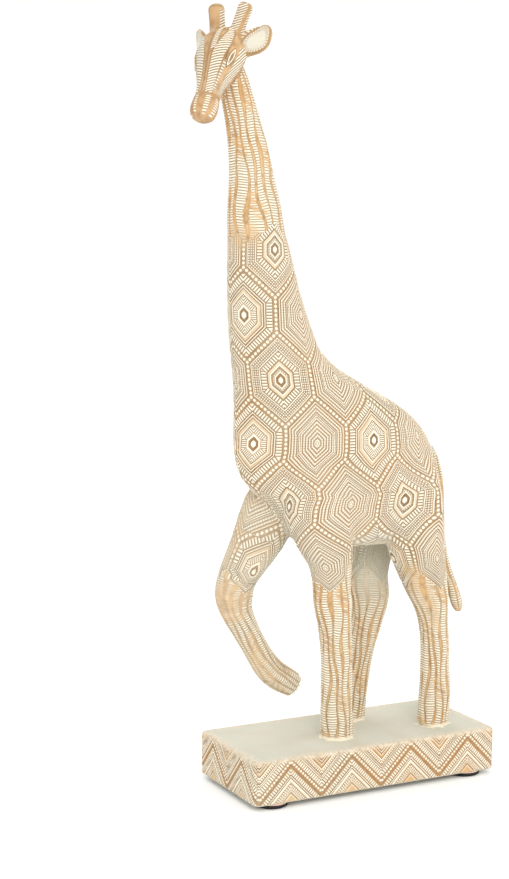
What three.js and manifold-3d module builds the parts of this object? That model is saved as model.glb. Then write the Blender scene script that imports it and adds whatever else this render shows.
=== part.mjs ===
// A carved-look giraffe figurine striding on a rectangular plinth, cast in sections and pinned together.
// Millimetres, +Z up. The giraffe faces -X with its head turned towards -Y, so its left side is the -Y side.
// It is built round the plinth's middle and then moved so that the origin is on the resting surface, below
// the middle of the whole figure's length and depth.
import * as THREE from "three";
import { mergeVertices } from "three/addons/utils/BufferGeometryUtils.js";
import { RoundedBoxGeometry } from "three/addons/geometries/RoundedBoxGeometry.js";
import Module from "manifold-3d";

const wasm = await Module();
wasm.setup();

// ---- Driving dimensions -------------------------------------------------------------------------------
const PLINTH_LENGTH = 110; // along X
const PLINTH_DEPTH = 50; // along Y
const PLINTH_TOP = 19.5;
const PLINTH_ROUNDING = 2.6;
const PLINTH_ROUNDING_STEPS = 3;
const PLINTH_FOOT_CUT = 2; // trimmed off a fully rounded block, so that the bottom edges stay crisp

const PAD_RADIUS = 6.5;
const PAD_THICKNESS = 1.2;
const PAD_SIDES = 24;
const PAD_INSET_X = 10.5; // from the plinth's ends to a pad's centre
const PAD_INSET_Y = 7.2; // from the plinth's sides to a pad's centre
const ADHESIVE_THICKNESS = 0.4;

const GAP = 0.3; // between pieces that touch
const PLINTH_BOTTOM = PAD_THICKNESS + ADHESIVE_THICKNESS + 2 * GAP;
const FOOT_Z = PLINTH_TOP + GAP;

const LEG_JOINT_Z = 95; // the standing legs meet the torso at the height of the belly
const NECK_JOINT_Z = 219; // where the plain neck meets the shoulders' patterned casting

const PIN_RADIUS = 1.5;
const NECK_ROD_RADIUS = 2.5;
const PIN_SIDES = 12;
const BORE_CLEARANCE = 0.3;
const FOOT_PIN_DEPTH = 11.5; // into the plinth and into the foot
const LEG_PIN_DEPTH = 10; // into the leg and into the torso
const NECK_ROD_DEPTH = 14; // into the torso and into the neck

const BODY_Y = 2; // the giraffe's middle plane, a little behind the plinth's
const BODY_SIDES = 36;
const LEG_SIDES = 18;
const HEAD_SIDES = 26;
const SMALL_SIDES = 14;

const BEYOND = 400; // further than any piece reaches, for cutting slabs

// ---- Lofted forms -------------------------------------------------------------------------------------
const X_AXIS = new THREE.Vector3(1, 0, 0);
const Y_AXIS = new THREE.Vector3(0, 1, 0);
const Z_AXIS = new THREE.Vector3(0, 0, 1);

// A closed round bar of unit radius with flat ends, its rings at heights 0, 1, 2 and so on.
function roundBar(rings, sides) {
  const profile = [new THREE.Vector2(0, 0)];
  for (let ring = 0; ring <= rings; ring++) profile.push(new THREE.Vector2(1, ring));
  profile.push(new THREE.Vector2(0, rings));
  return new THREE.LatheGeometry(profile, sides);
}

// Bends and swells a round bar. section(t) gives, for t from 0 to 1 along the bar, its middle, the two
// directions it is measured in and its half size in each.
function shapedBar(section, rings, sides) {
  const geometry = roundBar(rings, sides);
  const position = geometry.getAttribute("position");
  const vertex = new THREE.Vector3();
  for (let i = 0; i < position.count; i++) {
    vertex.fromBufferAttribute(position, i);
    const { middle, along, across, halfAlong, halfAcross } = section(vertex.y / rings);
    const moved = middle
      .clone()
      .addScaledVector(along, vertex.z * halfAlong)
      .addScaledVector(across, vertex.x * halfAcross);
    position.setXYZ(i, moved.x, moved.y, moved.z);
  }
  return geometry;
}

// Smooth curves through the stations' middles and through their half sizes.
function stationCurves(stations) {
  const middles = new THREE.CatmullRomCurve3(stations.map(([x, y, z]) => new THREE.Vector3(x, y, z)));
  const halves = new THREE.CatmullRomCurve3(stations.map((s) => new THREE.Vector3(s[3], s[4], 0)));
  return { middles, halves };
}

// A limb through stations [x, y, z, half size fore and aft, half size across], each cut square to the limb.
// across is roughly the direction in which the second half size is measured.
function limb(stations, { sides = LEG_SIDES, steps = 2, across = Y_AXIS, grow = 0 } = {}) {
  const { middles, halves } = stationCurves(stations);
  const section = (t) => {
    const tangent = middles.getTangent(t);
    const along = across.clone().cross(tangent).normalize();
    const half = halves.getPoint(t);
    return {
      middle: middles.getPoint(t),
      along,
      across: tangent.clone().cross(along).normalize(),
      halfAlong: half.x + grow,
      halfAcross: half.y + grow,
    };
  };
  return solid(shapedBar(section, (stations.length - 1) * steps, sides));
}

// A body through levels [z, front x, back x, half width], each cut level.
function levelBody(levels, { steps = 2, grow = 0 } = {}) {
  const stations = levels.map(([z, front, back, half]) => [
    (front + back) / 2,
    BODY_Y,
    z,
    (back - front) / 2,
    half,
  ]);
  const { middles, halves } = stationCurves(stations);
  const section = (t) => {
    const half = halves.getPoint(t);
    return {
      middle: middles.getPoint(t),
      along: X_AXIS,
      across: Y_AXIS,
      halfAlong: half.x + grow,
      halfAcross: half.y + grow,
    };
  };
  return solid(shapedBar(section, (levels.length - 1) * steps, BODY_SIDES));
}

// ---- Solids -------------------------------------------------------------------------------------------
// A closed geometry as a solid that can be cut and joined, turned the right way out.
function solid(geometry) {
  const bare = new THREE.BufferGeometry().setAttribute("position", geometry.getAttribute("position"));
  if (geometry.index) bare.setIndex(geometry.index);
  const merged = mergeVertices(bare, 1e-4);
  const triVerts = new Uint32Array(merged.index.array);
  const vertProperties = merged.getAttribute("position").array;
  const made = new wasm.Manifold(new wasm.Mesh({ numProp: 3, vertProperties, triVerts }));
  return made.volume() < 0 ? solid(turnedInsideOut(merged)) : made;
}

function turnedInsideOut(geometry) {
  const index = geometry.index.array;
  for (let i = 0; i < index.length; i += 3) [index[i + 1], index[i + 2]] = [index[i + 2], index[i + 1]];
  return geometry;
}

// A solid's surface as a geometry.
function geometryOf(made) {
  const { numProp, numVert, vertProperties, triVerts } = made.getMesh();
  const position = new Float32Array(numVert * 3);
  for (let i = 0; i < numVert; i++) {
    position.set(vertProperties.subarray(i * numProp, i * numProp + 3), i * 3);
  }
  const geometry = new THREE.BufferGeometry().setAttribute("position", new THREE.BufferAttribute(position, 3));
  return geometry.setIndex(new THREE.BufferAttribute(triVerts, 1));
}

const union = (solids) => solids.reduce((sum, next) => sum.add(next));
const cut = (made, tools) => tools.reduce((rest, tool) => rest.subtract(tool), made);
// The largest of the separate bodies that a cut leaves.
const largest = (made) => made.decompose().reduce((a, b) => (a.volume() > b.volume() ? a : b));

// Everything of a solid between two heights.
function slice(made, low, high) {
  const slab = new THREE.BoxGeometry(BEYOND, BEYOND, high - low).translate(0, 0, (low + high) / 2);
  return made.intersect(solid(slab));
}

// A round bar from one point to another.
function rod(from, to, radius) {
  const length = from.distanceTo(to);
  const turn = new THREE.Quaternion().setFromUnitVectors(Y_AXIS, to.clone().sub(from).normalize());
  const bar = new THREE.CylinderGeometry(radius, radius, length, PIN_SIDES);
  const middle = from.clone().add(to).multiplyScalar(0.5);
  return bar.applyQuaternion(turn).translate(middle.x, middle.y, middle.z);
}

// ---- Body and neck ------------------------------------------------------------------------------------
const TORSO_LEVELS = [
  [95.2, -14, 29, 5],
  [97, -21, 35.6, 11],
  [101, -27, 38.6, 15],
  [107, -31, 39.8, 17],
  [114, -36.4, 40.2, 17.8],
  [119, -42, 40.2, 18],
  [124, -46.4, 39.8, 18],
  [130, -49.2, 38.8, 18],
  [136, -50.3, 36.4, 17.8],
  [142, -50.6, 32.4, 17.5],
  [148, -50.4, 25.8, 17.2],
  [154, -50.3, 16.4, 16.8],
  [160, -50.3, 5, 16.2],
  [166, -50.5, -6, 15.5],
  [174, -51.4, -15, 14.4],
  [184, -52.3, -19.4, 13.4],
  [196, -52.9, -23.8, 12.2],
  [208, -53.1, -27, 11],
  [219, -53.1, -30.3, 9.9],
];
const NECK_LEVELS = [
  ...TORSO_LEVELS.slice(-2),
  [229, -53.2, -32.1, 8.9],
  [240, -52.7, -35, 7.8],
  [251, -53, -37.6, 7.1],
  [261, -54.2, -40.8, 6.7],
  [270, -56, -43.8, 6.5],
  [278, -57.8, -46.6, 6],
  [283, -57.6, -49, 4.6],
];

// ---- Legs and tail ------------------------------------------------------------------------------------
const STANDING_FORELEG = [
  [-22, -4, 130, 11, 7],
  [-19.4, -6.5, 114, 14, 10],
  [-16, -8, 100.5, 12, 9.2],
  [-13.6, -7.8, 92, 9.2, 8],
  [-12.6, -7.4, 84, 7.9, 7.1],
  [-12.3, -7.2, 76, 7.6, 6.6],
  [-11, -7, 67, 6.6, 6],
  [-10, -7, 57, 6.2, 5.6],
  [-9.6, -7, 45, 6, 5.5],
  [-9.7, -7, 33, 6.2, 5.6],
  [-9.2, -7, FOOT_Z, 6.5, 5.8],
];
const LEFT_HINDLEG = [
  [24, -4, 130, 11, 7],
  [24, -7, 114, 13.5, 10],
  [25.4, -8.4, 98, 12.8, 9.6],
  [28, -8.5, 88, 11, 8.6],
  [30.6, -8.5, 79.5, 9.4, 7.4],
  [33.3, -8.5, 71, 7.3, 6.4],
  [34.6, -8.5, 63, 5.9, 5.6],
  [35.5, -8.5, 54, 5.6, 5.2],
  [35.8, -8.5, 44, 5.8, 5.3],
  [36, -8.5, 32, 6.4, 5.7],
  [35.2, -8.5, FOOT_Z, 6.3, 5.6],
];
const RIGHT_HINDLEG = [
  [26, 8, 130, 11, 7],
  [22.4, 11, 114, 14, 9.5],
  [18, 12, 98, 12.4, 8.8],
  [15.8, 12, 88, 10.2, 8],
  [15.6, 12, 79, 8.8, 7.2],
  [16.9, 12, 71, 8, 6.4],
  [15.8, 12.2, 62, 6.6, 5.7],
  [13.6, 12.6, 52, 5.4, 5.1],
  [11.6, 12.9, 41, 5.2, 4.9],
  [9.8, 13, 30, 5.5, 5],
  [8.4, 13, FOOT_Z, 5.9, 5.3],
];
const RAISED_FORELEG = [
  [-24, 7, 125, 11, 7],
  [-30.6, 9.5, 111, 12.4, 8.6],
  [-35.6, 11, 99.5, 11, 8.4],
  [-41, 11, 91, 9.2, 7.7],
  [-45.2, 11, 83.8, 8, 7],
  [-46.6, 11, 77.5, 7.7, 6.8],
  [-45.7, 11, 71.5, 6.4, 6],
  [-42.6, 11, 65, 5.3, 5.2],
  [-38.2, 11, 57, 4.8, 4.8],
  [-34.4, 11, 50.4, 5, 4.8],
  [-29.8, 11, 44.4, 5.4, 4.9],
  [-24.6, 11, 40.6, 5.2, 4.9],
  [-19.6, 11, 37.6, 4.7, 4.7],
];
const TAIL = [
  [38.6, BODY_Y, 133, 1.2, 1.6],
  [42, BODY_Y, 122, 2.2, 2.6],
  [43.4, BODY_Y, 108, 2, 2.4],
  [44.6, BODY_Y, 94, 1.8, 2.1],
  [47, 1.4, 82, 1.9, 2.1],
  [49.8, 0.6, 73, 2.3, 2.5],
  [51.8, 0, 66.6, 2.4, 2.5],
  [52.6, -0.2, 63.2, 1.2, 1.2],
];

// ---- Head ---------------------------------------------------------------------------------------------
const HEAD_TURN = THREE.MathUtils.degToRad(38); // from -X towards -Y
const HEAD_DROOP = THREE.MathUtils.degToRad(56); // below level
const HEAD_BACK = new THREE.Vector3(-54.7, 2.2, 292);
const HEAD_AXIS = new THREE.Vector3(
  -Math.cos(HEAD_DROOP) * Math.cos(HEAD_TURN),
  -Math.cos(HEAD_DROOP) * Math.sin(HEAD_TURN),
  -Math.sin(HEAD_DROOP),
);
const HEAD_LEFT = new THREE.Vector3(Math.sin(HEAD_TURN), -Math.cos(HEAD_TURN), 0);
const HEAD_TOP = HEAD_AXIS.clone().cross(HEAD_LEFT); // square to the face, out through the forehead

// Distance along the head, height of its middle above the axis, half height, half width.
const HEAD_STATIONS = [
  [-2.4, -1.4, 2.6, 3.4],
  [-1, -1, 5, 6.2],
  [3, -0.4, 7.3, 8.8],
  [8, -0.3, 8, 9.8],
  [13, -0.3, 7.6, 9],
  [18, -0.2, 6.4, 7.2],
  [23, 0, 5.2, 5.4],
  [27, 0.1, 4.6, 4.7],
  [30, 0, 4.8, 5],
  [33, -0.1, 5, 5.2],
  [36, -0.3, 4.4, 4.6],
  [37.8, -0.4, 2.2, 2.4],
];

// A point given by its distance along the head, towards its left and above the face's middle line.
function onHead(along, left, above) {
  return HEAD_BACK.clone()
    .addScaledVector(HEAD_AXIS, along)
    .addScaledVector(HEAD_LEFT, left)
    .addScaledVector(HEAD_TOP, above);
}

function headSolid(grow) {
  const stations = HEAD_STATIONS.map(([along, above, halfHeight, halfWidth]) => [
    ...onHead(along, 0, above),
    halfHeight,
    halfWidth,
  ]);
  return limb(stations, { across: HEAD_LEFT, sides: HEAD_SIDES, grow });
}

// Horns stand on the skull and lean outwards.
const HORNS = {
  left: { foot: [-54.6, 0.2, 286], tip: [-49.2, -4.4, 304.5], girth: 0.9 },
  right: { foot: [-56.2, 5.2, 286], tip: [-56.3, 7.4, 304.82], girth: 1 },
};
const HORN_OUTLINE = [
  [0, 3.4],
  [0.45, 3.1],
  [0.75, 3],
  [0.88, 3.2],
  [0.96, 2.8],
  [1, 1.6],
]; // share of the length and radius

function hornSolid({ foot, tip, girth }) {
  const from = new THREE.Vector3(...foot);
  const to = new THREE.Vector3(...tip);
  const station = ([share, radius]) => [...from.clone().lerp(to, share), radius * girth, radius * girth];
  return limb(HORN_OUTLINE.map(station), { sides: SMALL_SIDES });
}

// Leaf-shaped ears reach out, back and up, and each is hollowed on the side that it faces.
const EARS = {
  left: { side: 1, spread: 7.5, facing: new THREE.Vector3(-0.46, -0.89, 0), breadth: 1 },
  right: { side: -1, spread: 5.6, facing: new THREE.Vector3(-1, -0.1, 0), breadth: 0.75 },
};
const EAR_OUTLINE = [
  [0, 1.6, 3.4, -0.9],
  [0.3, 1.9, 4.3, -1],
  [0.55, 1.8, 4.9, -0.8],
  [0.75, 1.5, 4.2, -0.1],
  [0.9, 1.2, 3, 0.9],
  [0.98, 0.9, 1.6, 2],
  [1, 0.5, 0.7, 2.3],
]; // share of the length, half thickness, half breadth and how far the leaf curls up
const EAR_ROOT = { along: 6, above: 1 };
const EAR_REACH = { left: 8.4, back: 8.8, up: 7 };
const EAR_HOLLOW = { share: 0.56, sag: 0.6, out: 1.9, depth: 1.9, halfBreadth: 3.5, halfLength: 5.2, steps: 8 };

function earSolid({ side, spread, facing, breadth }) {
  const root = onHead(EAR_ROOT.along, side * spread, EAR_ROOT.above);
  const backwards = new THREE.Vector3(-HEAD_AXIS.x, -HEAD_AXIS.y, 0).normalize();
  const axis = HEAD_LEFT.clone().multiplyScalar(side * EAR_REACH.left);
  axis.addScaledVector(backwards, EAR_REACH.back).addScaledVector(Z_AXIS, EAR_REACH.up);
  const tip = root.clone().add(axis);
  const upwards = facing.clone().cross(axis).normalize();
  const front = axis.clone().cross(upwards).normalize();
  const station = ([along, thick, wide, rise]) => {
    const middle = root.clone().lerp(tip, along).addScaledVector(upwards, side * rise * breadth);
    return [...middle, thick, wide * breadth];
  };
  const leaf = limb(EAR_OUTLINE.map(station), { sides: SMALL_SIDES, across: upwards });
  const frame = new THREE.Matrix4().makeBasis(front, upwards, axis.normalize());
  const { share, sag, out, depth, halfBreadth, halfLength, steps } = EAR_HOLLOW;
  const centre = root.clone().lerp(tip, share).addScaledVector(front, out).addScaledVector(upwards, -side * sag);
  const hollow = new THREE.SphereGeometry(1, SMALL_SIDES, steps).scale(depth, halfBreadth * breadth, halfLength);
  return leaf.subtract(solid(hollow.applyMatrix4(frame).translate(...centre)));
}

// ---- Pins and bores -----------------------------------------------------------------------------------
// Each pin: where it crosses its joint, which way it runs and how far it reaches to either side.
const up = (x, y, z) => ({ at: new THREE.Vector3(x, y, z), axis: Z_AXIS });
const RAISED_LEG_AXIS = new THREE.Vector3(0.48, -0.13, 0.87).normalize();
const PINS = {
  standing_foreleg_foot_pin: { ...up(-9.2, -7, PLINTH_TOP), radius: PIN_RADIUS, depth: FOOT_PIN_DEPTH },
  left_hindleg_foot_pin: { ...up(35, -8.5, PLINTH_TOP), radius: PIN_RADIUS, depth: FOOT_PIN_DEPTH },
  right_hindleg_foot_pin: { ...up(8.6, 13, PLINTH_TOP), radius: PIN_RADIUS, depth: FOOT_PIN_DEPTH },
  standing_foreleg_body_pin: { ...up(-15.4, -7.9, LEG_JOINT_Z), radius: PIN_RADIUS, depth: LEG_PIN_DEPTH },
  left_hindleg_body_pin: { ...up(26, -8.4, LEG_JOINT_Z), radius: PIN_RADIUS, depth: LEG_PIN_DEPTH },
  right_hindleg_body_pin: { ...up(17, 12, LEG_JOINT_Z), radius: PIN_RADIUS, depth: LEG_PIN_DEPTH },
  raised_foreleg_body_pin: {
    at: new THREE.Vector3(-31.5, 10.2, 106.5),
    axis: RAISED_LEG_AXIS,
    radius: PIN_RADIUS,
    depth: LEG_PIN_DEPTH,
  },
  neck_rod: { ...up(-41.4, BODY_Y, NECK_JOINT_Z), radius: NECK_ROD_RADIUS, depth: NECK_ROD_DEPTH },
  head_pin: {
    at: new THREE.Vector3(-51.4, 1.6, 275),
    axis: new THREE.Vector3(-0.28, -0.05, 0.96).normalize(),
    radius: PIN_RADIUS,
    depth: 8,
  },
};

function pinGeometry({ at, axis, radius, depth }, clearance = 0) {
  const reach = depth + clearance;
  const low = at.clone().addScaledVector(axis, -reach);
  const high = at.clone().addScaledVector(axis, reach);
  return rod(low, high, radius + clearance);
}

const bores = Object.values(PINS).map((pin) => solid(pinGeometry(pin, BORE_CLEARANCE)));

// ---- Materials ----------------------------------------------------------------------------------------
const resinMaterial = () => new THREE.MeshStandardMaterial({ color: 0xe6cda4, roughness: 0.82, metalness: 0 });
const plinthMaterial = () => new THREE.MeshStandardMaterial({ color: 0xe2e1d3, roughness: 0.85, metalness: 0 });
const rubberMaterial = () => new THREE.MeshStandardMaterial({ color: 0x171717, roughness: 0.9, metalness: 0 });
const adhesiveMaterial = () => new THREE.MeshStandardMaterial({ color: 0xe9c9b6, roughness: 0.7, metalness: 0 });
const steelMaterial = () => new THREE.MeshStandardMaterial({ color: 0xb9bcbe, roughness: 0.35, metalness: 1 });

// ---- Assembly -----------------------------------------------------------------------------------------
const figure = new THREE.Group();

function addPiece(name, geometry, material) {
  const mesh = new THREE.Mesh(geometry, material);
  mesh.name = name;
  figure.add(mesh);
}

function addCasting(name, made, material = resinMaterial()) {
  addPiece(name, geometryOf(largest(cut(made, bores))), material);
}

function addPlinth() {
  const height = PLINTH_TOP - PLINTH_BOTTOM;
  const full = height + PLINTH_FOOT_CUT;
  const sizes = [PLINTH_LENGTH, PLINTH_DEPTH, full];
  const block = new RoundedBoxGeometry(...sizes, PLINTH_ROUNDING_STEPS, PLINTH_ROUNDING);
  const rounded = solid(block.translate(0, 0, PLINTH_TOP - full / 2));
  addCasting("plinth", slice(rounded, PLINTH_BOTTOM, BEYOND), plinthMaterial());
}

function addPads() {
  const x = PLINTH_LENGTH / 2 - PAD_INSET_X;
  const y = PLINTH_DEPTH / 2 - PAD_INSET_Y;
  const corners = { front_left: [-x, -y], front_right: [-x, y], rear_left: [x, -y], rear_right: [x, y] };
  const disc = (thickness, cx, cy, low) =>
    new THREE.CylinderGeometry(PAD_RADIUS, PAD_RADIUS, thickness, PAD_SIDES)
      .rotateX(Math.PI / 2)
      .translate(cx, cy, low + thickness / 2);
  for (const [corner, [cx, cy]] of Object.entries(corners)) {
    addPiece(`pad_${corner}`, disc(PAD_THICKNESS, cx, cy, 0), rubberMaterial());
    const adhesive = disc(ADHESIVE_THICKNESS, cx, cy, PAD_THICKNESS + GAP);
    addPiece(`pad_adhesive_${corner}`, adhesive, adhesiveMaterial());
  }
}

function addBody(legs) {
  const joint = GAP / 2;
  const body = union([levelBody(TORSO_LEVELS), ...legs.map((leg) => slice(leg, LEG_JOINT_Z + joint, BEYOND))]);
  addCasting("torso", slice(body, LEG_JOINT_Z + joint, NECK_JOINT_Z - joint));
  const neck = slice(levelBody(NECK_LEVELS), NECK_JOINT_Z + joint, BEYOND);
  addCasting("neck", neck.subtract(headSolid(GAP)));
}

function addStandingLegs(legs) {
  for (const [name, leg] of Object.entries(legs)) {
    addCasting(name, slice(leg, FOOT_Z, LEG_JOINT_Z - GAP / 2));
  }
}

function addHead() {
  addCasting("head", headSolid(0));
  const skull = headSolid(GAP);
  const horns = Object.values(HORNS).map(hornSolid);
  for (const [side, horn] of Object.entries(HORNS)) addCasting(`horn_${side}`, hornSolid(horn).subtract(skull));
  for (const [side, ear] of Object.entries(EARS)) addCasting(`ear_${side}`, cut(earSolid(ear), [skull, ...horns]));
}

function addCopedParts(legs) {
  const body = union([levelBody(TORSO_LEVELS, { grow: GAP }), ...legs]);
  addCasting("raised_foreleg", limb(RAISED_FORELEG).subtract(body));
  addCasting("tail", limb(TAIL, { sides: SMALL_SIDES }).subtract(body));
}

function addPins() {
  for (const [name, pin] of Object.entries(PINS)) addPiece(name, pinGeometry(pin), steelMaterial());
}

// The muzzle overhangs the plinth, so the whole figure is moved until its length is centred on the origin.
function centreLengthwise() {
  const middle = new THREE.Box3().setFromObject(figure).getCenter(new THREE.Vector3()).x;
  for (const mesh of figure.children) mesh.position.x = -middle;
}

const standingLegs = {
  standing_foreleg: limb(STANDING_FORELEG),
  left_hindleg: limb(LEFT_HINDLEG),
  right_hindleg: limb(RIGHT_HINDLEG),
};
const grownLegs = [STANDING_FORELEG, LEFT_HINDLEG, RIGHT_HINDLEG].map((leg) => limb(leg, { grow: GAP }));

addPlinth();
addPads();
addBody(Object.values(standingLegs));
addStandingLegs(standingLegs);
addCopedParts(grownLegs);
addHead();
addPins();
centreLengthwise();

export default figure;
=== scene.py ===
"""Looks for the carved-look giraffe figurine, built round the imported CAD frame.

The cast pieces of the animal are fused into one smooth skin, given their relief in geometry, and cut apart
again along the CAD joints. Pattern formulas are written once: numpy works them out for the relief, and Math
nodes for the colour and the fine bump.
Lengths inside the script are millimetres until a mesh is made; Blender's objects are in metres.
"""

import math

import bmesh
import bpy
import numpy as np
from mathutils import Matrix, Vector
from mathutils.bvhtree import BVHTree


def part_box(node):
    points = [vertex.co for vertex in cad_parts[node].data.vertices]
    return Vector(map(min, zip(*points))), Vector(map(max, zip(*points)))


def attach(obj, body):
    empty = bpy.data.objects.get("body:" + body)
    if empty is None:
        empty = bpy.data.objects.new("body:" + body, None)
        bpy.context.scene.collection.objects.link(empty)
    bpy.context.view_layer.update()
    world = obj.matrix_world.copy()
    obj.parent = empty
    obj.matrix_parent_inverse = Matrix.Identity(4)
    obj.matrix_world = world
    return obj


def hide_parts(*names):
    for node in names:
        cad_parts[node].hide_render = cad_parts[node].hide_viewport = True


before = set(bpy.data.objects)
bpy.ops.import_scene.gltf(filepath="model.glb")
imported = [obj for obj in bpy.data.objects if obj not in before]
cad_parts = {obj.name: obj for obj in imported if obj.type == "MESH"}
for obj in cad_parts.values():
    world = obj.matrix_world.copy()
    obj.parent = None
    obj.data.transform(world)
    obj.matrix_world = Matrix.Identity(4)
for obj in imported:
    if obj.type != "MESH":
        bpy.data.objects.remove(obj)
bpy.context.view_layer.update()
MM = 0.001

# ---- Dimensions shared with the CAD model, in millimetres ------------------------------------------------
PLINTH_HALF_X, PLINTH_HALF_Y = 55, 25
SHIFT_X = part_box("plinth")[0].x / MM + PLINTH_HALF_X  # the plinth's middle, the zero of the tables below
PLINTH_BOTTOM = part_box("plinth")[0].z / MM
PLINTH_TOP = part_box("plinth")[1].z / MM
BODY_Y = 2
# height, front x, back x, half width of the body and neck
BODY_SECTIONS = np.array([
    [90, -10, 26, 5], [97, -21, 35.6, 11], [101, -27, 38.6, 15], [107, -31, 39.8, 17], [119, -42, 40.2, 18],
    [130, -49.2, 38.8, 18], [142, -50.6, 32.4, 17.5], [154, -50.3, 16.4, 16.8], [160, -50.3, 5, 16.2],
    [166, -50.5, -6, 15.5], [174, -51.4, -15, 14.4], [184, -52.3, -19.4, 13.4], [196, -52.9, -23.8, 12.2],
    [208, -53.1, -27, 11], [229, -53.2, -32.1, 8.9], [251, -53, -37.6, 7.1], [270, -56, -43.8, 6.5],
    [290, -59, -49, 6],
], float)
# points down each limb: x, y, z and half sizes fore and aft, and across
LIMBS = {
    "standing_foreleg": [[-19.4, -6.5, 114, 14, 10], [-16, -8, 100.5, 12, 9.2], [-12.6, -7.4, 84, 7.9, 7.1],
                         [-11, -7, 67, 6.6, 6], [-9.6, -7, 45, 6, 5.5], [-9.2, -7, 19, 6.5, 5.8]],
    "left_hindleg": [[24, -7, 114, 13.5, 10], [28, -8.5, 88, 11, 8.6], [33.3, -8.5, 71, 7.3, 6.4],
                     [35.5, -8.5, 54, 5.6, 5.2], [36, -8.5, 32, 6.4, 5.7], [35, -8.5, 19, 6.3, 5.6]],
    "right_hindleg": [[22.4, 11, 114, 14, 9.5], [15.8, 12, 88, 10.2, 8], [16.9, 12, 71, 8, 6.4],
                      [13.6, 12.6, 52, 5.4, 5.1], [9.8, 13, 30, 5.5, 5], [8, 13, 19, 5.9, 5.3]],
    "raised_foreleg": [[-24, 7, 125, 11, 7], [-35.6, 11, 99.5, 11, 8.4], [-41, 11, 91, 9.2, 7.7],
                       [-45.2, 11, 83.8, 8, 7], [-46.6, 11, 77.5, 7.7, 6.8], [-45.7, 11, 71.5, 6.4, 6],
                       [-38.2, 11, 57, 4.8, 4.8], [-34.4, 11, 50.4, 5, 4.8], [-29.8, 11, 44.4, 5.4, 4.9],
                       [-19.6, 11, 37.6, 4.7, 4.7]],
    "tail": [[38.6, 2, 133, 1.2, 1.6], [43.4, 2, 108, 2, 2.4], [44.6, 2, 94, 1.8, 2.1],
             [47, 1.4, 82, 1.9, 2.1], [52.6, -0.2, 63.2, 1.2, 1.2]],
}
HEAD_TURN, HEAD_DROOP = math.radians(38), math.radians(56)
HEAD_BACK = np.array([-54.7, 2.2, 292])
HEAD_AXIS = np.array([
    -math.cos(HEAD_DROOP) * math.cos(HEAD_TURN),
    -math.cos(HEAD_DROOP) * math.sin(HEAD_TURN),
    -math.sin(HEAD_DROOP),
])
HEAD_LEFT = np.array([math.sin(HEAD_TURN), -math.cos(HEAD_TURN), 0])
HEAD_TOP = np.cross(HEAD_AXIS, HEAD_LEFT)

SKIN_NODES = [
    "torso", "neck", "head", "horn_left", "horn_right", "ear_left", "ear_right",
    "standing_foreleg", "raised_foreleg", "left_hindleg", "right_hindleg", "tail",
]
PIN_NODES = [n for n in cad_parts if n.endswith("_pin") or n.endswith("_rod")]


# ---- Formulas over a surface -----------------------------------------------------------------------------
class Expr:
    """A number that varies over a surface: value() works it out with numpy, wire() with Math nodes."""

    NUMPY = {
        "ADD": np.add, "SUBTRACT": np.subtract, "MULTIPLY": np.multiply, "DIVIDE": np.divide,
        "MINIMUM": np.minimum, "MAXIMUM": np.maximum, "ABSOLUTE": np.abs, "FLOOR": np.floor,
        "FRACT": lambda a: a - np.floor(a), "SQRT": lambda a: np.sqrt(np.maximum(a, 0)), "SINE": np.sin,
        "GREATER_THAN": lambda a, b: np.where(a > b, 1.0, 0.0),
        "CLAMP": lambda a: np.clip(a, 0, 1),
    }

    def __init__(self, op, *args):
        self.op, self.args = op, args

    def __add__(self, other):
        return Expr("ADD", self, other)

    def __sub__(self, other):
        return Expr("SUBTRACT", self, other)

    def __rsub__(self, other):
        return Expr("SUBTRACT", other, self)

    def __mul__(self, other):
        return Expr("MULTIPLY", self, other)

    __radd__, __rmul__ = __add__, __mul__

    def __gt__(self, other):
        return Expr("GREATER_THAN", self, other)

    def __lt__(self, other):
        return Expr("GREATER_THAN", other, self)

    def value(self, fields, known=None):
        """The value at every vertex, from a dict of named arrays."""
        known = {} if known is None else known
        if self not in known:
            if self.op == "FIELD":
                known[self] = fields[self.args[0]]
            else:
                args = [a.value(fields, known) if isinstance(a, Expr) else a for a in self.args]
                known[self] = self.NUMPY[self.op](*args)
        return known[self]

    def wire(self, tree, known):
        """The output socket of the Math nodes that work it out in a node tree."""
        if self not in known:
            known[self] = self.args[0] if self.op == "SOCKET" else self.new_node(tree, known)
        return known[self]

    def new_node(self, tree, known):
        if self.op == "FIELD":
            node = tree.nodes.new("ShaderNodeAttribute")
            node.attribute_name = self.args[0]
            return node.outputs["Fac"]
        node = tree.nodes.new("ShaderNodeMath")
        node.operation = "ADD" if self.op == "CLAMP" else self.op
        if self.op == "CLAMP":
            node.use_clamp = True
            node.inputs[1].default_value = 0
        for socket, arg in zip(node.inputs, self.args):
            if isinstance(arg, Expr):
                tree.links.new(arg.wire(tree, known), socket)
            else:
                socket.default_value = arg
        return node.outputs[0]


def operation(op):
    """A function that makes the formula of one operation."""
    return lambda *args: Expr(op, *args)


field, low, size_of, floor = (operation(op) for op in ("FIELD", "MINIMUM", "ABSOLUTE", "FLOOR"))
fract, sine, clamp, root = (operation(op) for op in ("FRACT", "SINE", "CLAMP", "SQRT"))


def high(*args):
    made = args[0]
    for other in args[1:]:
        made = Expr("MAXIMUM", made, other)
    return made


def mix(a, b, share):
    return (b - a) * share + a


def band(x, start, end, soft=0.18):
    """1 where x is between start and end, with edges soft wide."""
    return clamp(low(x - start, end - x) * (1 / soft) + 0.5)


def bands(x, *pairs):
    """band() for several ranges that don't meet."""
    made = band(x, *pairs[0])
    for pair in pairs[1:]:
        made = made + band(x, *pair)
    return made


def stripes(x, pitch, share, soft=0.3):
    """1 on regular stripes across x, each a share of the pitch wide."""
    away = size_of(fract(x * (1 / pitch)) - 0.5)
    return clamp((share / 2 - away) * (1 / soft) + 0.5)


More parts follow.
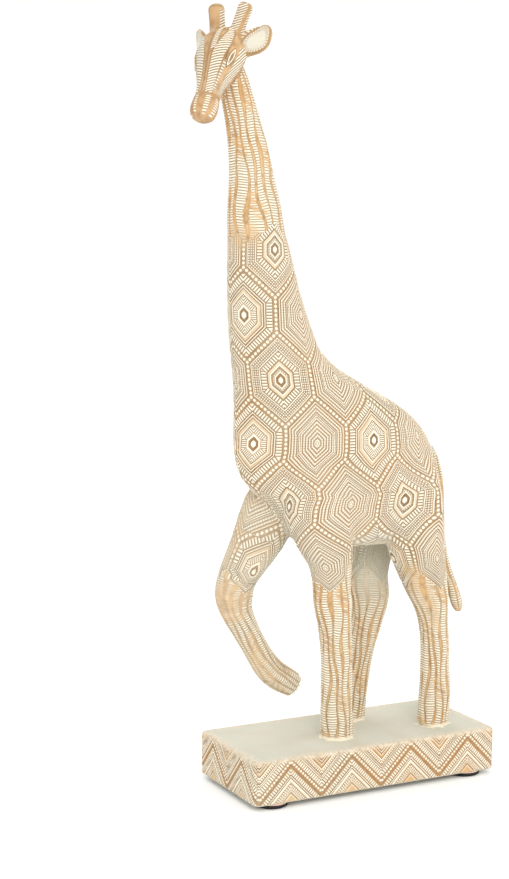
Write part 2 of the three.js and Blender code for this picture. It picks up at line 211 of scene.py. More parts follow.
def spots(x, y, pitch_x, pitch_y, radius, soft=0.25):
    """1 on a grid of round spots of a radius given as a share of pitch_x."""
    across = fract(x * (1 / pitch_x)) - 0.5
    along = (fract(y * (1 / pitch_y)) - 0.5) * (pitch_y / pitch_x)
    away = root(across * across + along * along)
    return clamp((radius - away) * (1 / soft) + 0.5)


# ---- The hexagon pattern ---------------------------------------------------------------------------------
HEX_HALF = 12.5  # half the width of a cell
HEX_SIDE = 6.7  # half the length of its upright side
HEX_APEX = 18.0  # from its middle to its point
HEX_ROW = HEX_SIDE + HEX_APEX
SLOPE = (HEX_APEX - HEX_SIDE) / HEX_HALF
EDGE = math.hypot(HEX_HALF, HEX_APEX - HEX_SIDE)
COS, SIN = HEX_HALF / EDGE, (HEX_APEX - HEX_SIDE) / EDGE
DEPTH = HEX_APEX * COS  # from a cell's edge to its middle
MIDDLE = 20  # past any cell's middle, so a ring that ends here fills it
EDGE_DOTS, SIDE_DOTS = 10, 8
EDGE_MIDDLE = (-HEX_APEX * SIN + HEX_HALF * COS - HEX_SIDE * SIN) / 2
ROW_ZERO = 164.0  # the height of the middle of a row of cells
LOWEST_ROW, HIGHEST_ROW = -3.5 * HEX_ROW, 1.5 * HEX_ROW


def cell_offsets(u, v, start_u, start_v):
    """The nearest cell of one of the two interleaved grids: offsets, column and the height of its middle."""
    column = floor((u - start_u) * (0.5 / HEX_HALF) + 0.5)
    row = floor((v - start_v) * (0.5 / HEX_ROW) + 0.5)
    across = size_of(u - start_u - column * (2 * HEX_HALF))
    middle = row * (2 * HEX_ROW) + start_v
    return across, size_of(v - middle), column, middle


def hexagon_size(across, up):
    """0 at a cell's middle and 1 on its edge."""
    return high(across * (1 / HEX_HALF), (up + across * SLOPE) * (1 / HEX_APEX))


def hexagons(u, v):
    """(cream, brown, relief, where) of the nested hexagons. where is 0 outside the part that is drawn."""
    across_a, up_a, column_a, middle_a = cell_offsets(u, v, 0, 0)
    across_b, up_b, column_b, middle_b = cell_offsets(u, v, HEX_HALF, HEX_ROW)
    is_b = hexagon_size(across_a, up_a) > hexagon_size(across_b, up_b)
    across, up = mix(across_a, across_b, is_b), mix(up_a, up_b, is_b)
    middle = mix(middle_a, middle_b, is_b)
    odd_a = fract(column_a * 0.5) * 2
    odd_b = 1 - fract(column_b * 0.5) * 2
    is_concentric = mix(odd_a, odd_b, is_b)

    size = hexagon_size(across, up)
    size = hexagon_size(across, up * (size * 0.1 + 0.9))
    inward = (1 - size) * DEPTH
    on_slope = (up + across * SLOPE) * (1 / HEX_APEX) > across * (1 / HEX_HALF)
    slope_along = across * COS - up * SIN - EDGE_MIDDLE
    # dots sit on the corners and are evenly spaced between them
    big_along = mix(up * (SIDE_DOTS / (2 * HEX_SIDE)), slope_along * (EDGE_DOTS / EDGE), on_slope) + 0.5
    dot = fract(big_along) - 0.5
    dot_pitch = EDGE / EDGE_DOTS
    away = root(dot * dot + inward * inward * (1 / dot_pitch**2))
    edge_dots = clamp((0.37 - away) * 5 + 0.5)
    along = mix(up, slope_along, on_slope)

    ladder = stripes(along, 1.15, 0.62)
    fine_ladder = stripes(along, 0.8, 0.62)
    spotted = stripes(inward, 0.92, 0.64) * stripes(along, 0.92, 0.64)
    ringed = stripes(inward + 0.2, 1.2, 0.54) * (stripes(along, 0.95, 0.76) * 0.7 + 0.3)
    fine_spots = mix(spotted, ringed, is_concentric)

    def shared(a, b, c):
        """Rings that differ between the three kinds of cell: a and b alternate by row, c by column."""
        return mix(mix(a, b, is_b), c, is_concentric)

    solid = shared(
        bands(inward, (1.4, 1.75), (4.7, 5.15), (9.0, 9.55), (10.9, 11.4), (12.4, MIDDLE)),
        bands(inward, (4.45, 4.85), (5.55, 5.95), (7.2, 7.65), (10.5, 11.3), (12.3, MIDDLE)),
        bands(inward, (1.4, 1.75), (5.5, 5.9), (12.9, MIDDLE)),
    )
    pale = shared(band(inward, 8.2, 9.1) * 0.35, band(inward, 6.3, 7.2) * 0.2, 0)
    big = shared(band(inward, 5.5, 7.7), band(inward, 1.6, 4.0), 0)
    fine = shared(0, band(inward, 8.0, 10.2), 0)
    speckled = shared(bands(inward, (1.9, 4.5), (9.9, 10.7)), 0, bands(inward, (2.0, 5.2), (6.15, 12.8)))
    brown = shared(
        bands(inward, (1.0, 1.3), (4.4, 4.68), (5.18, 5.4), (7.8, 8.15), (9.6, 9.9), (11.5, 12.3)),
        bands(inward, (1.1, 1.4), (4.1, 4.4), (4.95, 5.3), (6.0, 6.25), (7.8, 8.05), (11.4, 12.2)),
        bands(inward, (1.0, 1.3), (5.2, 5.45), (5.95, 6.15)),
    )
    groove = band(inward, 0, 1.15)
    cream = high(edge_dots, solid, pale, big * ladder, fine * fine_ladder, speckled * fine_spots)
    shade = high(brown, groove * 0.6, big * 0.95, fine * 0.9, speckled * 0.88) * (1 - cream)
    raised = high(edge_dots, solid, pale, big * ladder, (fine + speckled) * 0.45)
    relief = (1 - high(shade, groove)) * 0.5 + raised * 0.5

    top_row = band(middle, HIGHEST_ROW, HIGHEST_ROW + HEX_ROW)
    in_top = high(HIGHEST_ROW + HEX_ROW * 0.5 + 4.5 + sine(u * 0.7) * 1.6 > v, 0.56 > size)
    in_bottom = high(v - (LOWEST_ROW + HEX_ROW * 0.5), field("hex_end") > size)
    where = high(band(middle, LOWEST_ROW, HIGHEST_ROW), top_row * in_top) * clamp(in_bottom)
    return cream, shade, relief, where


def columns(count, along):
    """(cream, brown, gap, fold) of irregular columns of ticks. count numbers the columns, along is in mm."""
    bent = count + sine(along * 0.11 + count * 1.7) * 0.2 + sine(along * 0.29 - count * 1.1) * 0.13
    bare = sine(along * 0.21 + count * 1.3) * sine(along * 0.093 - count * 0.8 + 1.3)
    bare = clamp((bare - 0.3) * 3) * clamp(sine(along * 2.3 + count * 3.7) * 0.5 + 0.75)
    across = fract(bent)
    side = size_of(across - 0.5)
    odd = fract(floor(bent) * 0.618 + 0.21)
    half = odd * 0.1 + 0.3 + sine(along * 0.19 + odd * 23) * 0.12 + sine(along * 3.1 + odd * 40) * 0.03
    half = low(half, 0.44)
    inside = clamp((half - side) * 9 + 0.5) * (1 - bare * 0.85)
    tilt = (across - 0.5) * (odd - 0.5) * 1.6 + odd * 3
    tick = stripes(along + tilt + sine(along * 1.1 + odd * 9) * 0.12, 1.0, 0.64)
    border = clamp(1 - size_of(side - half - 0.05) * 15)
    gap = 1 - inside
    brown = high(border * 0.6, inside * (1 - tick) * 0.68)
    return tick * inside, brown, gap, 1 - side * side * 4


# ---- Node helpers ----------------------------------------------------------------------------------------
def colour(red, green, blue):
    """A colour given as it looks, from 0 to 255, as the linear values that shaders take."""
    def linear(c):
        c /= 255
        return c / 12.92 if c <= 0.04045 else ((c + 0.055) / 1.055) ** 2.4

    return (linear(red), linear(green), linear(blue), 1)


class Look:
    """A material being built from nodes."""

    def __init__(self, name):
        self.material = bpy.data.materials.new(name)
        self.material.use_nodes = True
        self.tree = self.material.node_tree
        self.shader = self.tree.nodes["Principled BSDF"]
        self.known = {}
        self.place = self.tree.nodes.new("ShaderNodeTexCoord").outputs["Object"]

    def link(self, value, socket):
        """Puts a formula, a socket or a plain value on a socket."""
        if isinstance(value, Expr):
            value = value.wire(self.tree, self.known)
        if isinstance(value, bpy.types.NodeSocket):
            self.tree.links.new(value, socket)
        else:
            socket.default_value = value

    def noise(self, scale, detail=3, low_at=0.35, high_at=0.65):
        """Cloudy noise from 0 to 1, spread between two of its levels. scale is in waves per metre."""
        node = self.tree.nodes.new("ShaderNodeTexNoise")
        node.inputs["Scale"].default_value = scale
        node.inputs["Detail"].default_value = detail
        self.tree.links.new(self.place, node.inputs["Vector"])
        spread = self.tree.nodes.new("ShaderNodeMapRange")
        spread.inputs["From Min"].default_value = low_at
        spread.inputs["From Max"].default_value = high_at
        self.tree.links.new(node.outputs["Fac"], spread.inputs["Value"])
        return Expr("SOCKET", spread.outputs["Result"])

    def blend(self, first, second, share):
        node = self.tree.nodes.new("ShaderNodeMix")
        node.data_type = "RGBA"
        for value, socket in ((first, "A_Color"), (second, "B_Color")):
            self.link(value, next(s for s in node.inputs if s.identifier == socket))
        self.link(share, next(s for s in node.inputs if s.identifier == "Factor_Float"))
        return next(s for s in node.outputs if s.identifier == "Result_Color")

    def bump(self, height, distance, strength=1.0, under=None):
        node = self.tree.nodes.new("ShaderNodeBump")
        node.inputs["Distance"].default_value = distance
        node.inputs["Strength"].default_value = strength
        self.link(height, node.inputs["Height"])
        if under is not None:
            self.tree.links.new(under, node.inputs["Normal"])
        return node.outputs["Normal"]

    def finish(self, base, roughness, normal=None, metallic=0.0, specular=0.35):
        self.link(base, self.shader.inputs["Base Color"])
        self.link(roughness, self.shader.inputs["Roughness"])
        self.link(metallic, self.shader.inputs["Metallic"])
        self.link(specular, self.shader.inputs["Specular IOR Level"])
        if normal is not None:
            self.tree.links.new(normal, self.shader.inputs["Normal"])
        return self.material


TAN, ORANGE, PALE_TAN = colour(202, 170, 128), colour(214, 158, 88), colour(212, 190, 154)
BROWN, RED_BROWN = colour(116, 94, 64), colour(146, 110, 76)
# the second colour is the grey of the whitewash, which plain also lays as painted shade
CREAM, WASH_AND_SHADE_GREY = colour(247, 240, 220), colour(206, 203, 186)
HIDE_TANS = (PALE_TAN, TAN, colour(208, 160, 98))
FACE_TANS = (TAN, colour(184, 150, 106), colour(196, 142, 84))
EAR_WASH = colour(213, 212, 197)


GRAIN = (900, 2, 0.3, 0.7)  # the noise that breaks the paint up
PAINT_BUMP, GRAIN_BUMP = 0.00022, 0.00004  # metres


def painted(look, tan, groove, cream, brown, grain, stain=0.0):
    """Brown in the grooves of a tan ground and cream on what stands up, both broken up by the grain."""
    base = look.blend(tan, groove, clamp(high(brown * (grain * 0.35 + 0.75), stain)))
    return look.blend(base, CREAM, clamp(cream * (grain * 0.22 + 0.84)))


def painted_normal(look, cream, brown, grain, depth):
    """The thickness of the paint over a grain of some depth."""
    return look.bump(cream - brown * 0.7, PAINT_BUMP, 0.8, under=look.bump(grain, depth, 0.5))


def painted_resin(name, cream, brown, plain=0.0, warm=0.0, mottle=0.0, tans=HIDE_TANS, pale=WASH_AND_SHADE_GREY):
    """Matte resin: tan, brown washed into grooves, cream brushed on what stands up, grey whitewash and
    painted shade.
    """
    look = Look(name)
    cloud, drift, grain = look.noise(70), look.noise(28, 2), look.noise(*GRAIN)
    tan = look.blend(tans[0], tans[1], cloud)
    tan = look.blend(tan, tans[2], high(drift * 0.42, warm * (drift * 0.55 + 0.35)))
    groove = look.blend(BROWN, RED_BROWN, look.noise(45, 2))
    stain = look.noise(330, 4, 0.42, 0.68) * mottle
    base = painted(look, tan, groove, cream, brown, grain, stain)
    base = look.blend(base, pale, clamp(look.noise(55, 4, 0.45, 0.75) * 0.22 + plain))
    return look.finish(base, brown * 0.12 + 0.72, painted_normal(look, cream, brown, grain, GRAIN_BUMP))


# ---- Measuring places on the animal ----------------------------------------------------------------------
def fold(angle):
    """An angle from -pi to pi, turned back at a right angle so that it is continuous all round."""
    return np.where(np.abs(angle) <= math.pi / 2, angle, np.sign(angle) * (math.pi - np.abs(angle)))


def smooth(x, start, end):
    t = np.clip((x - start) / (end - start), 0, 1)
    return t * t * (3 - 2 * t)


def patch(x, start, end, soft):
    """1 between start and end, fading over soft on each side."""
    return smooth(x, start - soft / 2, start + soft / 2) * smooth(-x, -end - soft / 2, -end + soft / 2)


def limb_places(points, stations):
    """For each point: distance along the limb, angle round it from -Y towards the back, distance from it."""
    stations = np.array(stations, float)
    middles = stations[:, :3]
    starts, steps = middles[:-1], np.diff(middles, axis=0)
    lengths = np.linalg.norm(steps, axis=1)
    run = np.concatenate([[0], np.cumsum(lengths)])
    best = np.full(len(points), 1e9)
    along, angle = np.zeros(len(points)), np.zeros(len(points))
    for i, (start, step, length) in enumerate(zip(starts, steps, lengths)):
        share = np.clip(((points - start) @ step) / length**2, 0, 1)
        offset = points - start - share[:, None] * step
        distance = np.linalg.norm(offset, axis=1)
        tangent = step / length
        fore = np.cross([0, 1, 0], tangent)
        fore /= np.linalg.norm(fore)
        fore *= -1 if fore[0] < 0 else 1
        side = np.cross(tangent, fore)
        side *= -1 if side[1] < 0 else 1
        half = stations[i, 3:] * (1 - share[:, None]) + stations[i + 1, 3:] * share[:, None]
        here = distance < best
        best = np.where(here, distance, best)
        along = np.where(here, run[i] + share * length, along)
        turned = np.arctan2((offset @ fore) / half[:, 0], -(offset @ side) / half[:, 1])
        angle = np.where(here, turned, angle)
    return along, angle, best


ARC_ANGLES = np.linspace(0, math.pi, 121)
ARC_HEIGHTS = np.linspace(88, 295, 140)


def arc_table():
    """Distance round the body from the middle of the chest, for each height and angle."""
    table = []
    for z in ARC_HEIGHTS:
        front, back, half = (np.interp(z, BODY_SECTIONS[:, 0], BODY_SECTIONS[:, i]) for i in (1, 2, 3))
        speed = np.hypot((back - front) / 2 * np.sin(ARC_ANGLES), half * np.cos(ARC_ANGLES))
        steps = (speed[1:] + speed[:-1]) / 2 * np.diff(ARC_ANGLES)
        table.append(np.concatenate([[0], np.cumsum(steps)]))
    return np.array(table)


ARCS = arc_table()
# height, and the distance round from the chest at which the pattern's main column of cells stands
MAIN_COLUMN = np.array([
    [108, 13.6], [114, 14.2], [120, 15.6], [128, 18.2], [136, 20.6], [142, 21.4], [152, 20.7], [164, 19.6],
    [300, 19.6],
])
BELLY_Z = 118  # below this the pattern runs on as if the body kept its width


def body_places(points):
    """(distance round from the main column, angle from the chest) of points on the body and neck."""
    x, y, z = points.T
    line = np.interp(z, MAIN_COLUMN[:, 0], MAIN_COLUMN[:, 1])
    z = np.maximum(z, BELLY_Z)
    front, back, half = (np.interp(z, BODY_SECTIONS[:, 0], BODY_SECTIONS[:, i]) for i in (1, 2, 3))
    ahead = -(x - (front + back) / 2) / ((back - front) / 2)
    angle = np.arctan2(np.abs(y - BODY_Y) / half, ahead)
    # the bulge of the thighs would bend the pattern on the flanks, where the way along the body is enough
    flank = smooth(-np.abs(ahead), -0.98, -0.5) * smooth(-ahead, -0.2, 0.1) * smooth(-z, -158, -142)
    angle = angle + (np.arccos(np.clip(ahead, -1, 1)) - angle) * flank
    row = np.clip((z - ARC_HEIGHTS[0]) / (ARC_HEIGHTS[1] - ARC_HEIGHTS[0]), 0, len(ARC_HEIGHTS) - 1.001)
    column = np.clip(angle / (ARC_ANGLES[1] - ARC_ANGLES[0]), 0, len(ARC_ANGLES) - 1.001)
    i, j = row.astype(int), column.astype(int)
    p, q = row - i, column - j
    arc = (ARCS[i, j] * (1 - p) * (1 - q) + ARCS[i + 1, j] * p * (1 - q)
           + ARCS[i, j + 1] * (1 - p) * q + ARCS[i + 1, j + 1] * p * q)
    return arc - line, angle


# how each standing leg carries the hexagons: the angle of a cell's middle, that cell's place and the scale
LEG_CELLS = {
    "standing_foreleg": (-0.6, HEX_HALF, 9.2),
    "left_hindleg": (0.28, 5 * HEX_HALF, 14),
    "right_hindleg": (0.28, 5 * HEX_HALF, 14),
}
LEG_COLUMNS = 12
LEG_TOP = 110  # below this the ticks are numbered round the leg, not round the body
FIRST_COLUMN = {"standing": 20, "raised": 60, "tail": 80.3}  # so that no two limbs have the same ticks
LAST_CELL = -3 * HEX_ROW  # the middle of the lowest row, below which the cells are stretched
NO_CELLS = -500.0  # lower than any row of cells
KNEE_CELL = 42.2  # how far down the raised leg the cell above the knee has its middle
NECK_COLUMNS = 7  # on each side


def hide_fields(points, normals, node):
    """The pattern's coordinates on the body, neck, legs and tail."""
    z = points[:, 2]
    u, angle = body_places(points)
    v = z - ROW_ZERO
    count, along = angle * NECK_COLUMNS / math.pi, z.copy()
    end, fold_height = np.full(len(points), 2.0), np.full(len(points), 0.7)
    # painted shade: the grey wash on faces that look down, low on the body and legs
    plain = smooth(-normals[:, 2], 0.25, 0.75) * smooth(-z, -125, -100) * 0.45
    # a warm cloud hides where the cells end, except over the topmost cells themselves
    from_cell = np.abs((u + HEX_HALF) % (2 * HEX_HALF) - HEX_HALF)
    bare = patch(z + np.sin(u * 0.8) * 1.2, 214.5, 222.5, 6) * smooth(from_cell, 4.5, 8) * 0.75
    if node == "torso" or node in LEG_CELLS:
        names = list(LEG_CELLS) if node == "torso" else [node]
        found = [limb_places(points, LIMBS[n]) for n in names]
        nearest = np.argmin([f[2] for f in found], axis=0)
        on_leg = smooth(-z, -108, -92)
        for i, (name, (_, turned, _)) in enumerate(zip(names, found)):
            here = nearest == i
            if name == "right_hindleg":
                turned = np.sign(turned) * (math.pi - np.abs(turned))
            start, place, scale = LEG_CELLS[name]
            round_leg = place + scale * (fold(turned) - start)
            u = np.where(here, u * (1 - on_leg) + round_leg * on_leg, u)
            numbered = fold(turned) * LEG_COLUMNS / (2 * math.pi) + FIRST_COLUMN["standing"] + 7 * i
            count = np.where(here & (z < LEG_TOP), numbered, count)
            # painted shade: more of the grey wash on the inner sides of the legs, between them
            inner = smooth(np.abs(turned), 1.5, 2.3) * smooth(-z, -112, -100) * smooth(z, 60, 80)
            plain = np.where(here, np.maximum(plain, inner * 0.7), plain)
            if name == "standing_foreleg":
                end = np.where(here, 0.74, end)
            if name == "left_hindleg":
                cloud = patch(z, 60, 88, 6) * patch(turned + (z - 74) * 0.02, -1.0, -0.2, 0.3) * 0.7
                bare = np.where(here, cloud, bare)
        v = np.where(v < LAST_CELL, LAST_CELL + (v - LAST_CELL) * 1.35, v)
        fold_height = 0.7 + 1.7 * smooth(-z, -84, -70)
    if node == "raised_foreleg":
        down, turned, _ = limb_places(points, LIMBS[node])
        u = 9.5 * (fold(turned) - 0.18) + 3 * HEX_HALF
        below = down - KNEE_CELL
        v = LAST_CELL - below * np.where(below < 0, 0.8, 1.9)
        count, along = fold(turned) * LEG_COLUMNS / (2 * math.pi) + FIRST_COLUMN["raised"], down
        # a light grey wash over the whole leg, and painted shade as more of it on the back of its upper half,
        # its shaded side
        plain = 0.22 + smooth(turned, 0.25, 1.1) * smooth(-down, -60, -48) * 0.55
        fold_height = 0.7 + 1.7 * smooth(down, 46, 56)
        uneven = turned + np.sin(down * 0.9 + turned * 3) * 0.2
        # warm clouds on the knee, the fetlock and the front of the upper half
        knee = patch(down, 48, 62, 5) * patch(uneven, -3, 0.0, 0.7) * 0.85
        fetlock = patch(down, 76, 92, 6) * patch(uneven, -3, -0.1, 0.7) * 0.65
        front = patch(down, 8, 46, 8) * patch(uneven, -3, -1.05, 0.4) * 0.55
        bare = np.maximum(np.maximum(knee, fetlock), front)
    if node == "tail":
        down, turned, _ = limb_places(points, LIMBS[node])
        v = np.full(len(points), NO_CELLS)
        count, along = fold(turned) * 0.95 + FIRST_COLUMN["tail"], down
        plain, bare = smooth(-down, -4, 0), smooth(down, 66, 71) * 0.7
    paint = smooth(-z, -PLINTH_TOP - 1.5, -PLINTH_TOP - 0.4)
    return {"hex_u": u, "hex_v": v, "hex_end": end, "count": count, "along": along, "plain": plain,
            "fold_height": fold_height, "foot_paint": paint, "bare": bare}


SWING_ZERO = 8  # degrees that the face's pattern is turned from the middle of the head


def head_fields(points, *_):
    offset = points - HEAD_BACK
    along, left, above = offset @ HEAD_AXIS, offset @ HEAD_LEFT, offset @ HEAD_TOP
    return {"head_along": along, "head_swing": np.degrees(np.arctan2(left, above)) + SWING_ZERO}


# ---- Patterns of each kind of piece ----------------------------------------------------------------------
def hide_pattern():
    cream_h, brown_h, relief_h, where = hexagons(field("hex_u"), field("hex_v"))
    cream_c, brown_c, gap, fold_c = columns(field("count"), field("along"))
    bare = field("bare")
    cream = mix(cream_c, cream_h, where) * (1 - bare * 0.85)
    brown = mix(brown_c, brown_h, where) * (1 - bare * 0.7)
    relief_c = (cream_c - brown_c) * 0.5 + (fold_c - 0.5) * field("fold_height") + 0.5
    paint = field("foot_paint")
    relief = mix(relief_c, relief_h, where)
    warm = high(gap * (1 - where), bare)
    return high(cream, paint), brown * (1 - paint), mix(relief, 0.5, bare * 0.7), warm


def head_pattern():
    """(cream, brown, relief, warm, painted shade). a runs from the head's back to its lips, t turns from its
    top.
    """
    a, swing = field("head_along"), field("head_swing")
    t = size_of(swing)
    before = clamp((28.4 - a) * 3)
    # the wide ladder from horn to muzzle, one to each side of the nose
    spine = clamp((a - 2) * (1 / 11)) * -19 + clamp((a - 20) * (1 / 8)) * 5 + 50
    reach = clamp((a - 1) * (1 / 8)) * 8 + 9
    off = size_of(t - spine)
    wide = clamp((reach - off) * 0.3 + 0.5) * before
    ladder = stripes(a + t * 0.05, 1.1, 0.58) * wide
    edge = clamp(1 - size_of(off - reach - 2.6) * 0.32) * before
    # a short ladder down the middle of the forehead, and the bare stripe below it
    middle = band(swing, 5, 19, 3) * band(a + swing * 0.1, -4, 12)
    short = stripes(a + swing * 0.05, 0.95, 0.58) * middle
    bare = band(swing, -6, 2.5, 3) * band(a, 2, 28.2, 2)
    bare = high(bare, band(swing, 20, 22.5, 2) * band(a, -2, 12, 1) * 0.8)
    # steep ticks along the cheek
    cheek = band(t, 82, 112, 3) * band(a, 7, 27)
    slant = stripes(a + t * 0.38, 2.5, 0.57) * cheek
    # a short ladder between the wide one and the eye
    sparse = band(t, 53, 62, 3) * band(a, 14.5, 27)
    few = stripes(a - t * 0.02, 1.15, 0.55) * sparse
    # painted shade: a brown line along the brow, where a groove is carved too
    brow = band(t - a * 0.3, 49.5, 53.5, 2) * band(a, 5, 17)
    # a narrow almond eye between cream lids
    eye_a = (a - 12.8) * (1 / 3.6)
    eye_t = (t - 69) * (1 / 5.6) + eye_a * 0.3
    eye = size_of(eye_t) + eye_a * eye_a
    lids = high(band(eye, 0.6, 1.12, 0.16), band(eye, 0.28, 0.38, 0.1) * 0.5)
    lash = bands(eye, (1.14, 1.5, 0.14), (0, 0.3, 0.12)) * 0.75 + band(eye, 0.3, 0.66, 0.1) * 0.25
    clear = clamp((eye - 1.6) * 6)
    # stacks of ticks on the muzzle
    muzzle = clamp((a - 29.4) * 3) * clamp((37.3 - a) * 2)
    stack = band(swing, -19, -4, 4) + band(swing, 32, 54, 4) + band(swing, 80, 104, 4)
    stack = clamp(stack + band(swing, -78, -56, 4))
    stacked = stripes(a + t * 0.01, 1.0, 0.55) * muzzle * stack
    crease = band(a, 28.0, 29.0)
    cream = high(high(ladder, short, few, slant) * clear, lids, stacked)
    ticked = high(wide, cheek * before, sparse, middle)
    # painted shade: brown on the side of the muzzle turned away from the camera and key light
    muzzle_far_side_shade = band(swing, -52, -22, 14) * muzzle * 0.45
    brown = high(edge * 0.85, crease * 0.5, muzzle_far_side_shade, lash, ticked * 0.8 * clear, bare * 0.65, brow * 0.8,
                 muzzle * stack * 0.35)
    relief = (cream - brown) * 0.5 + 0.5 - bare * 0.6 - crease * 0.5 - brow * 0.8 + band(eye, 0, 1.1) * 0.8
    # painted shade: a grey wash on the side of the forehead turned away from the camera and key light
    wash = band(swing, -44, -20, 8) * band(a, 6, 17, 4) * 0.5
    return cream, brown * (1 - cream), relief, clamp(a - 28.4) * 0.4 + 0.35, wash


def small_pattern():
    """Ears and horns: ticks across, where the piece says so, along with a plain tan rim or cap."""
    ticks = stripes(field("tick_along"), 1.0, 0.55) * field("tick_share")
    brown = high(field("tick_share") * 0.7, field("tick_edge")) * (1 - ticks)
    return ticks, brown, ticks * 0.5 + (1 - brown) * 0.5


# ---- The skin --------------------------------------------------------------------------------------------
FATTEN = 0.25  # enough to close the gaps between the CAD pieces
VOXEL = 0.64
SMOOTHING = 26
SMALL_NODES = ("horn_left", "horn_right", "ear_left", "ear_right")
FINE_NODES, FINE_STRENGTH = (*SMALL_NODES, "tail"), 0.2
STRENGTH_ROUNDS, STEP_IN, STEP_OUT = 6, 0.5, -0.52
RELIEF = 0.34


def node_arrays(name):
    """A CAD node's merged vertices in millimetres and its triangles, swollen a little."""
    made = bmesh.new()
    made.from_mesh(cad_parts[name].data)
    bmesh.ops.remove_doubles(made, verts=made.verts, dist=1e-6)
    bmesh.ops.recalc_face_normals(made, faces=made.faces)
    made.normal_update()
    points = np.array([v.co + v.normal * FATTEN * MM for v in made.verts]) / MM
    made.verts.ensure_lookup_table()
    faces = [[v.index for v in f.verts] for f in made.faces]
    made.free()
    points[:, 0] -= SHIFT_X
    if name.endswith("foot_pin"):
        points[:, 2] = np.maximum(points[:, 2], PLINTH_TOP + 0.3)
    return points, faces


def mesh_of(name, points, faces):
    mesh = bpy.data.meshes.new(name)
    mesh.from_pydata(points.tolist(), [], faces)
    mesh.update()
    return mesh


def linked(name, data):
    """A new object in the scene."""
    made = bpy.data.objects.new(name, data)
    bpy.context.scene.collection.objects.link(made)
    return made


def evaluated(mesh, kind, **settings):
    """A mesh with one modifier applied."""
    holder = linked("holder", mesh)
    modifier = holder.modifiers.new("step", kind)
    for key, value in settings.items():
        setattr(modifier, key, value)
    graph = bpy.context.evaluated_depsgraph_get()
    made = bpy.data.meshes.new_from_object(
        holder.evaluated_get(graph), preserve_all_data_layers=True, depsgraph=graph
    )
    bpy.data.objects.remove(holder)
    return made


def arrays_of(mesh):
    points = np.empty(len(mesh.vertices) * 3)
    mesh.vertices.foreach_get("co", points)
    quads = np.empty(len(mesh.loops), int)
    mesh.loops.foreach_get("vertex_index", quads)
    edges = np.empty(len(mesh.edges) * 2, int)
    mesh.edges.foreach_get("vertices", edges)
    return points.reshape(-1, 3), quads.reshape(-1, 4), edges.reshape(-1, 2)


def largest_part(points, quads, edges):
    """The outer skin: drops the separate shells that closed voids leave."""
    label = np.arange(len(points))
    while True:
        least = np.minimum(label[edges[:, 0]], label[edges[:, 1]])
        new = label.copy()
        np.minimum.at(new, edges[:, 0], least)
        np.minimum.at(new, edges[:, 1], least)
        new = new[new]
        if np.array_equal(new, label):
            break
        label = new
    values, counts = np.unique(label, return_counts=True)
    kept = label == values[np.argmax(counts)]
    renumber = np.cumsum(kept) - 1
    return points[kept], renumber[quads[kept[quads[:, 0]]]]


def neighbour_average(points, edges, counts):
    total = [
        np.bincount(edges[:, 0], points[edges[:, 1], i], len(points))
        + np.bincount(edges[:, 1], points[edges[:, 0], i], len(points))
        for i in range(3)
    ]
    return np.stack(total, 1) / counts[:, None]


def smoothed(points, edges, rounds, strength):
    """Smooths without shrinking: a step in and a slightly larger one out, scaled by each point's strength."""
    counts = np.bincount(edges.ravel(), minlength=len(points)).astype(float)
    strength = np.repeat(strength[:, None], 3, 1)
    for _ in range(STRENGTH_ROUNDS):
        strength = neighbour_average(strength, edges, counts)
    for _ in range(rounds):
        for step in (STEP_IN, STEP_OUT):
            points = points + step * strength * (neighbour_average(points, edges, counts) - points)
    return points


def vertex_normals(points, quads):
    a, b, c, d = (points[quads[:, i]] for i in range(4))
    face = np.cross(c - a, d - b)
    normals = np.stack([
        np.bincount(quads.ravel(), np.repeat(face[:, i], 4), len(points)) for i in range(3)
    ], 1)
    return normals / np.maximum(np.linalg.norm(normals, axis=1), 1e-12)[:, None]


def nearest_nodes(centres, shapes):
    """Which CAD node each point is nearest to, as an index into SKIN_NODES."""
    points, faces, owner = [], [], []
    for i, name in enumerate(SKIN_NODES):
        start = len(points)
        points.extend(shapes[name][0].tolist())
        faces.extend([[start + k for k in f] for f in shapes[name][1]])
        owner.extend([i] * len(shapes[name][1]))
    tree = BVHTree.FromPolygons(points, faces)
    return np.array([owner[tree.find_nearest(Vector(c))[2]] for c in centres])


def build_skin():
    """The fused, smoothed skin: points in millimetres, quads and the CAD node that each quad belongs to."""
    shapes = {n: node_arrays(n) for n in SKIN_NODES + PIN_NODES}
    points, faces = [], []
    for shape_points, shape_faces in shapes.values():
        start = len(points)
        points.extend(shape_points.tolist())
        faces.extend([[start + k for k in f] for f in shape_faces])
    fused = evaluated(mesh_of("fused", np.array(points), faces), "REMESH", mode="VOXEL", voxel_size=VOXEL)
    points, quads = largest_part(*arrays_of(fused))
    coarse = mesh_of("coarse", points, quads.tolist())
    _, _, edges = arrays_of(coarse)
    is_fine = np.isin(nearest_nodes(points, shapes), [SKIN_NODES.index(n) for n in FINE_NODES])
    points = smoothed(points, edges, SMOOTHING, np.where(is_fine, FINE_STRENGTH, 1.0))
    points -= vertex_normals(points, quads) * FATTEN
    owner = nearest_nodes(points[quads].mean(1), shapes)
    coarse.vertices.foreach_set("co", points.ravel())
    coarse.attributes.new("owner", "INT", "FACE").data.foreach_set("value", owner.astype(np.int32))
    fine = evaluated(coarse, "SUBSURF", levels=1, render_levels=1)
    points, quads, _ = arrays_of(fine)
    owner = np.empty(len(quads), np.int32)
    fine.attributes["owner"].data.foreach_get("value", owner)
    for mesh in (fused, coarse, fine):
        bpy.data.meshes.remove(mesh)
    return points, quads, owner


SOLE = PLINTH_TOP + 0.02
FLARE_HEIGHT, FLARE = 2.4, 0.7


